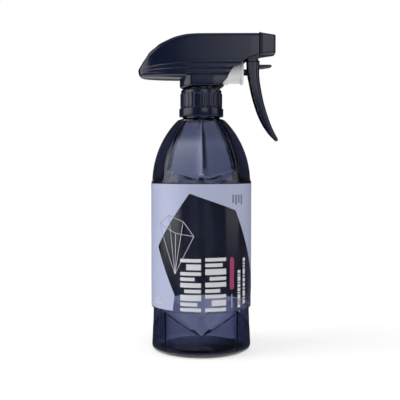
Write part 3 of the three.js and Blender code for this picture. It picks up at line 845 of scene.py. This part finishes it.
def make_shroud():
    stations = [-44.9, -44.75, -44.5, -44.1, -43.6] + [mix(-43, SHROUD_HIGH.x, i / 150) for i in range(151)]
    belly_steps = 12
    rows = []
    for x in stations:
        raised = back_notches(x)
        half = [(x, y, z) for y, z in shroud_half_section(x)]
        half = [(x, y, z + raised * smooth(i / len(half), 0.75, 0.9)) for i, (x, y, z) in enumerate(half)]
        rows.append([(px, -py, pz) for px, py, pz in half[:-1]] + half[::-1])
    points, faces = grid(rows)
    belly_rows = []
    for x in [s for s in stations if s <= -9]:
        edge, bottom = SHROUD_EDGE(x), SHROUD_BELLY(x)
        half = shroud_flank(x, edge)
        angles = [math.pi * j / (2 * belly_steps) for j in range(2 * belly_steps + 1)]
        belly = []
        for a in angles:
            across = math.copysign(abs(math.cos(a)) ** 0.7, math.cos(a))
            belly.append((x, -half * across, edge - (edge - bottom) * math.sin(a) ** 0.7))
        belly_rows.append(belly)
    more_points, more_faces = grid(belly_rows)
    faces += [tuple(len(points) + i for i in face) for face in more_faces]
    points += more_points
    tail = rows[0]
    under_tail = [len(rows) * len(tail) + j for j in range(2 * belly_steps, -1, -1)]
    faces.append((*range(len(tail)), *under_tail))
    shell = make_mesh("shroud_shell", points, faces, 30)
    if shell.data.polygons[20].normal.y > 0:
        shell.data.flip_normals()
    thicken(shell, 1.15, 0.25)
    return finish_piece(shell, NAVY, "sprayer", "navy_plastic", "shroud")


SKIRT_FLAT = 13.6
SKIRT_RADIUS = 15.4
SKIRT_TOP = 195.1
SKIRT_REACH = table(((186.9, 10.6), (188.4, 11.8), (189.7, 14.7), (192.1, 17.5), (195.6, 19.3)))


def skirt_place(along, offset, height):
    """A point of the skirt's wall. Along runs 0 to 1 on the near flat, to 2 round the back, and to 3."""
    if 1 <= along <= 2:
        angle = math.pi * (along - 1)
        radius = min(SKIRT_RADIUS + offset, (SKIRT_FLAT + offset) / max(0.01, abs(math.cos(angle))))
        return -radius * math.sin(angle), -radius * math.cos(angle), height
    forward = (1 - along if along < 1 else along - 2) * SKIRT_REACH(height)
    half = min(SKIRT_FLAT, SKIRT_RADIUS - 0.18 * forward) + offset
    return forward, -half if along < 1 else half, height


def make_skirt():
    low, top, wall = SHROUD_LOW.z, SKIRT_TOP, 1.2
    sections = []
    steps = [i / 24 for i in range(24)] + [1 + i / 64 for i in range(64)] + [2 + i / 24 for i in range(25)]
    for along in steps:
        behind = 1 - abs(2 * along - 3) if 1 <= along <= 2 else 0.0
        at_rear = smooth(behind, 0.15, 0.6)
        base = low + 1.3 * (1 - at_rear)
        round_off = mix(0.35, 1.5, at_rear)
        profile = [(-wall - 0.6 * at_rear, base + 0.3), (-wall - 0.55 * at_rear, base)]
        profile += arc((-round_off, base + round_off), round_off, -90, 0, 5)
        profile += arc((-0.5, top - 0.5), 0.5, 0, 90, 5)
        profile += [(-2.6, top), (-2.6, top - wall), (-wall, top - wall), (-wall, base + round_off + 1)]
        sections.append([skirt_place(along, offset, height) for offset, height in profile])
    skirt = loft("shroud_skirt", sections)
    return finish_piece(skirt, NAVY, "sprayer", "navy_plastic", "shroud")


# ---------- pump ----------


def make_pump_cylinder():
    rear, front, flange = PUMP_LOW.x, PUMP_HIGH.x, PUMP_HIGH.y
    bore = 6.6
    profile = [(1.3, rear), (flange - 0.4, rear), (flange, rear + 0.4), (flange, 18.9), (8.75, 19.15)]
    profile += [(8.0, 19.3), (8.0, 27.3), (8.15, 27.65), (8.5, 27.95)]
    profile += [(flange - 0.15, 28.15), (flange, 28.4)]
    profile += arc((flange - 0.3, front - 0.3), 0.3, 0, 90, 3) + [(bore + 0.4, front), (bore, front - 0.4)]
    profile += [(bore, rear + 1.2), (1.3, rear + 1.2)]
    cylinder = lay_along_x(revolve("pump_barrel", profile), PUMP_AXIS)
    return finish_piece(cylinder, WHITE, "sprayer", "white_plastic", "pump_cylinder")


def make_spring():
    wire, coil, turns, sides, steps = 0.45, 3.2, 6, 8, 30
    start, end = SPRING_LOW.x + wire, SPRING_HIGH.x - wire
    rows = []
    for i in range(turns * steps + 1):
        share = i / (turns * steps)
        angle = TURN * turns * share
        x = mix(start, end, share)
        ring = []
        for j in range(sides):
            a = TURN * j / sides
            radius = coil + wire * math.cos(a)
            y, z = radius * math.sin(angle), PUMP_AXIS + radius * math.cos(angle)
            ring.append((x + wire * math.sin(a), y, z))
        rows.append(ring)
    spring = loft("pump_spring", rows)
    finish_piece(spring, STEEL, "sprayer", "spring_steel", "return_spring")
    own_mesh(spring)
    return spring


# ---------- nozzle ----------


def rounded_square(half, corner, count=64):
    """Points round a square with rounded corners, evenly by angle within each corner and side."""
    points = []
    per_side = count // 4
    for quarter in range(4):
        turn = quarter * TURN / 4
        for i in range(per_side):
            share = i / per_side
            if share < 0.5:
                a = mix(-TURN / 8, TURN / 8, share / 0.5) + TURN / 8
                u = half - corner + corner * math.cos(a)
                v = half - corner + corner * math.sin(a)
            else:
                u = mix(half - corner, corner - half, (share - 0.5) / 0.5)
                v = half
            points.append((u * math.cos(turn) - v * math.sin(turn), u * math.sin(turn) + v * math.cos(turn)))
    return points


def make_nozzle():
    rear, front = NOZZLE_LOW.x, NOZZLE_HIGH.x
    rear_half, front_half = NOZZLE_HIGH.y + 0.25, NOZZLE_HIGH.y - 1.4
    bore, depth = 5.6, 2.4
    taper = lambda x: mix(rear_half - 0.1, front_half, (x - rear) / (front - rear))
    stations = [(front - depth, 0.5, 0.5), (front - depth, bore, bore), (rear, bore, bore)]
    stations += [(rear, rear_half - 0.35, 1.3), (rear + 0.1, rear_half - 0.1, 1.5)]
    stations += [(rear + 0.35, rear_half, 1.6), (rear + 1.1, rear_half, 1.6)]
    stations += [(rear + 1.3, rear_half - 0.16, 1.5)]
    stations += [(x, taper(x), 1.5) for x in (mix(rear + 1.5, front - 0.7, i / 6) for i in range(7))]
    for a in (math.pi / 8, math.pi / 4, 3 * math.pi / 8, math.pi / 2):
        x, half = front - 0.7 * (1 - math.sin(a)), front_half - 0.7 * (1 - math.cos(a)) + 0.02
        stations.append((x, half, 1.4))
    hole = [(0, 3.4), (0.15, 3.2), (1.0, 2.7), (1.0, 1.5), (0.6, 1.3), (0.6, 0.5)]
    stations += [(front - inset, half, half) for inset, half in hole]
    sections = [
        [(x, u, NOZZLE_AXIS + v) for u, v in rounded_square(half, corner)] for x, half, corner in stations
    ]
    points, faces = grid(sections, closed_across=True, closed_along=True)
    cap = make_mesh("nozzle_cap_shell", points, faces, 30)
    return finish_piece(cap, NAVY, "nozzle", "navy_plastic", "nozzle_cap")


# ---------- trigger ----------

# The blade's front and back edges and half width, each against height
BLADE_FRONT = table((
    (149.4, 54.25), (149.6, 54.45), (150, 54.55), (150.6, 54.48), (151.2, 54.3), (152.6, 53.65),
    (154.8, 52.6), (156.9, 51.62), (159, 50.62), (161.2, 49.73), (163.3, 48.9), (165.4, 48.12),
    (167.5, 47.4), (169.7, 46.68),
    (171.8, 46.02), (173.9, 45.37), (176, 44.78), (178.2, 44.25), (180.3, 43.78), (182.4, 43.33),
    (184.5, 42.95), (186.6, 42.55), (188.7, 42.2), (190.9, 41.85), (193, 41.6), (195.1, 41.42),
    (197.3, 41.3), (200, 41.35), (202, 41.45), (205.5, 41.6), (206.4, 40.6), (207.3, 40.55),
))
BLADE_BACK = table((
    (149.4, 54.0), (149.7, 53.7), (150.3, 53.1), (151, 52.36), (151.8, 51.55), (153.2, 50.1), (155.4, 48.22),
    (157.6, 46.65), (159.8, 45.22), (162, 43.93), (164.2, 42.8), (166.4, 41.76), (168.6, 40.83),
    (170.8, 40.0),
    (173.1, 39.22), (175.3, 38.5), (177.5, 37.84), (179.7, 37.2), (181.9, 36.6), (184.1, 36.07),
    (186.3, 35.58), (188.5, 35.12), (190.7, 34.68), (192.9, 34.25), (195.1, 33.75), (199, 33.1),
    (203.9, 32.78), (206.1, 32.6),
))
BLADE_HALF = table((
    (149.4, 6.9), (149.8, 7.7), (150.6, 8.1), (152, 8.34), (190, 10.3), (198, 10.2), (203, 9.9),
))
BLADE_WALL = 1.0


def blade_section(height):
    """The channel's closed section: from the middle of its web round one side, in again, and mirrored."""
    groove = bump(height, 205.0, 0.4)
    back, front, half = BLADE_BACK(height), BLADE_FRONT(height), BLADE_HALF(height)
    front -= 0.5 * groove
    half -= 0.4 * groove
    deep = front - back
    crown, web, corner = min(0.5, deep * 0.1), min(1.7, deep * 0.45), min(3.2, deep * 0.7)
    floor = front - crown - web
    lip = min(0.3, (floor - back) * 0.3)
    inner_half = half - BLADE_WALL
    inner_corner = min(2.4, (floor - back) * 0.8)
    points = [(front - crown * (i / 6) ** 2, (half - corner) * i / 6) for i in range(7)]
    points += arc((front - crown - corner, half - corner), corner, 0, 90, 8)[1:]
    points += [(mix(front - crown - corner, back + lip, i / 5), half) for i in range(1, 6)]
    points += [(back, half - lip), (back, inner_half + lip)]
    points += [(mix(back + lip, floor - inner_corner, i / 4), inner_half) for i in range(5)]
    points += arc((floor - inner_corner, inner_half - inner_corner), inner_corner, 90, 0, 6)[1:]
    points += [(floor + 0.1, (inner_half - inner_corner) / 2), (floor + 0.12, 0)]
    mirrored = [(x, -y) for x, y in points[-2:0:-1]]
    return [(x, y, height) for x, y in points + mirrored]


def make_trigger():
    heights = [149.4, 149.5, 149.65, 149.85, 150.1, 150.4, 150.8]
    heights += [mix(151.3, 204.4, i / 66) for i in range(67)]
    heights += [204.6, 204.75, 204.9, 205.0, 205.1, 205.25, 205.4, 205.7, 206.4, 207.3]
    blade = loft("trigger_blade", [blade_section(height) for height in heights], 40)
    finish_piece(blade, NAVY, "trigger", "navy_plastic", "trigger")
    middle = Vector((37.3, 210.1))
    outline = [(32.8, 206.9)] + arc(middle, 3.3, 190, -10, 20) + [(40.5, 206.9)]
    for side in (-1, 1):
        sections = []
        for inset, y in ((0.3, 8.9), (0.0, 9.1), (0.0, 9.7), (0.3, 9.9)):
            ring = [Vector(p) + (middle - Vector(p)).normalized() * inset for p in outline]
            sections.append([(p.x, side * y, p.y) for p in ring])
        cheek = loft("trigger_cheek_left" if side > 0 else "trigger_cheek_right", sections)
        finish_piece(cheek, NAVY, "trigger", "navy_plastic", "trigger")


def make_lock():
    low, high = LOCK_LOW, LOCK_HIGH
    centre_z, half_z = (low.z + high.z) / 2, (high.z - low.z) / 2
    stations = []
    for share in range(25):
        x = mix(low.x, high.x, share / 24)
        to_end = max(0.0, x - (high.x - 2.2)) / 2.2
        rounding = math.sqrt(max(0.0, 1 - to_end**2))
        tall = half_z * mix(1, 0.92, share / 24) * mix(0.45, 1, rounding)
        stations.append((x, 4.0 * mix(0.55, 1, rounding), tall))
    sections = []
    for x, wide, tall in stations:
        ring = []
        for j in range(32):
            a = TURN * j / 32
            u = math.copysign(abs(math.cos(a)) ** 0.35, math.cos(a)) * wide
            v = math.copysign(abs(math.sin(a)) ** 0.35, math.sin(a)) * tall
            taper = 0.9 * smooth(x, 42, high.x) * (1 - v / half_z) / 2
            ring.append((x, u, centre_z + v + taper))
        sections.append(ring)
    tab = loft("lock_tab", sections)
    return finish_piece(tab, NAVY, "trigger_lock", "navy_plastic", "trigger_lock")


# ---------- carried-over CAD pieces ----------

CAD_LOOKS = {
    "sprayer_body": DARK_NAVY,
    "neck_gasket": FOAM,
    "piston": WHITE,
    "piston_seal": SEAL,
    "piston_rod": BLACK,
    "tube_adapter": NATURAL,
    "inlet_ball": STEEL,
    "outlet_valve": SEAL,
    "dip_tube": NATURAL,
    "nozzle_seal": SEAL,
    "swirl_insert": WHITE,
}


def dress_cad_nodes():
    for name, material in CAD_LOOKS.items():
        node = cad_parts[name]
        node.data.materials.clear()
        node.data.materials.append(material)
        node.data.shade_smooth()
        weld = node.modifiers.new("weld", "WELD")
        weld.merge_threshold = 1e-6
        split = node.modifiers.new("edges", "EDGE_SPLIT")
        split.split_angle = math.radians(35)


# ---------- studio ----------


def studio_world():
    """White all round for the camera, and a dim studio with soft lamps for the light itself."""
    world = bpy.data.worlds.new("studio")
    bpy.context.scene.world = world
    world.use_nodes = True
    tree = world.node_tree
    background = tree.nodes["Background"]
    background.inputs["Color"].default_value = (1, 1, 1, 1)
    direction = tree.nodes.new("ShaderNodeTexCoord").outputs["Generated"]
    split = tree.nodes.new("ShaderNodeSeparateXYZ")
    tree.links.new(direction, split.inputs[0])

    def maths(kind, a, b):
        node = tree.nodes.new("ShaderNodeMath")
        node.operation = kind
        for socket, value in zip(node.inputs, (a, b)):
            if isinstance(value, (int, float)):
                socket.default_value = value
            else:
                tree.links.new(value, socket)
        return node.outputs[0]

    def ease(source, start, end, high=1.0):
        node = tree.nodes.new("ShaderNodeMapRange")
        node.interpolation_type = "SMOOTHSTEP"
        node.inputs["From Min"].default_value = start
        node.inputs["From Max"].default_value = end
        node.inputs["To Max"].default_value = high
        tree.links.new(source, node.inputs["Value"])
        return node.outputs["Result"]

    flat = tree.nodes.new("ShaderNodeVectorMath")
    flat.operation = "MULTIPLY"
    flat.inputs[1].default_value = (1, 1, 0)
    tree.links.new(direction, flat.inputs[0])
    level = tree.nodes.new("ShaderNodeVectorMath")
    level.operation = "NORMALIZE"
    tree.links.new(flat.outputs[0], level.inputs[0])

    def lamp(azimuth, inner, outer, low, high, edge, strength):
        """A soft panel, by the values of one row of STUDIO_PANELS."""
        a = math.radians(azimuth)
        dot = tree.nodes.new("ShaderNodeVectorMath")
        dot.operation = "DOT_PRODUCT"
        dot.inputs[1].default_value = (math.sin(a), -math.cos(a), 0)
        tree.links.new(level.outputs[0], dot.inputs[0])
        rim, core = math.cos(math.radians(outer)), math.cos(math.radians(inner))
        across = ease(dot.outputs["Value"], rim, core, strength)
        above = ease(split.outputs["Z"], low - edge, low + edge)
        below = ease(split.outputs["Z"], high + edge, high - edge)
        return maths("MULTIPLY", across, maths("MULTIPLY", above, below))

    light = ease(split.outputs["Z"], 0.6, 0.95, 0.3)
    light = maths("ADD", light, ease(split.outputs["Z"], -0.2, -0.7, 1.7))
    light = maths("ADD", light, 0.04)
    for panel in STUDIO_PANELS:
        light = maths("ADD", light, lamp(*panel))
    path = tree.nodes.new("ShaderNodeLightPath")
    choose = tree.nodes.new("ShaderNodeMix")
    tree.links.new(path.outputs["Is Camera Ray"], choose.inputs["Factor"])
    tree.links.new(light, choose.inputs["A"])
    choose.inputs["B"].default_value = 1.0
    tree.links.new(choose.outputs["Result"], background.inputs["Strength"])


# (azimuth, inner and outer half width in degrees, low and high sine of elevation, edge, strength)
STUDIO_PANELS = (
    (-76, 16, 34, -0.1, 0.75, 0.07, 2.25),
    (76, 12, 22, -0.08, 0.7, 0.08, 1.1),
    (18, 12.5, 18.5, 0.04, 0.7, 0.06, 1.6),
    (-174, 2, 12, -0.05, 0.75, 0.05, 1.0),
)


def make_floor():
    mesh = bpy.data.meshes.new("floor")
    size = 4.0
    corners = [(-size, -size, 0), (size, -size, 0), (size, size, 0), (-size, size, 0)]
    mesh.from_pydata(corners, [], [(0, 1, 2, 3)])
    floor = bpy.data.objects.new("floor", mesh)
    bpy.context.scene.collection.objects.link(floor)
    nodes = Nodes("floor_paper")
    grain = nodes.noise(30, 2)
    nodes.link(nodes.ramp(grain, (0.88, 0.88, 0.88), (0.90, 0.90, 0.90)), nodes.shader.inputs["Base Color"])
    nodes.set(Roughness=0.9, Specular_IOR_Level=0.1, Emission_Color=(1, 1, 1, 1), Emission_Strength=0.62)
    floor.data.materials.append(nodes.material)
    floor.visible_glossy = False
    floor.visible_diffuse = False


def make_camera():
    distance, height, aim_height, left = 0.541, 0.1302, 0.1072, -0.0009
    data = bpy.data.cameras.new("camera")
    data.sensor_width = 36
    data.lens = 67.7
    camera = bpy.data.objects.new("camera", data)
    bpy.context.scene.collection.objects.link(camera)
    camera.location = (left, -distance, height)
    aim = Vector((left, 0, aim_height)) - camera.location
    camera.rotation_euler = aim.to_track_quat("-Z", "Y").to_euler()
    bpy.context.scene.camera = camera


make_camera()
make_floor()
studio_world()
bpy.context.scene.view_settings.view_transform = "Standard"

make_bottle()
make_label()
make_print()
make_collar()
make_shroud()
make_skirt()
make_pump_cylinder()
make_spring()
make_nozzle()
make_trigger()
make_lock()
dress_cad_nodes()
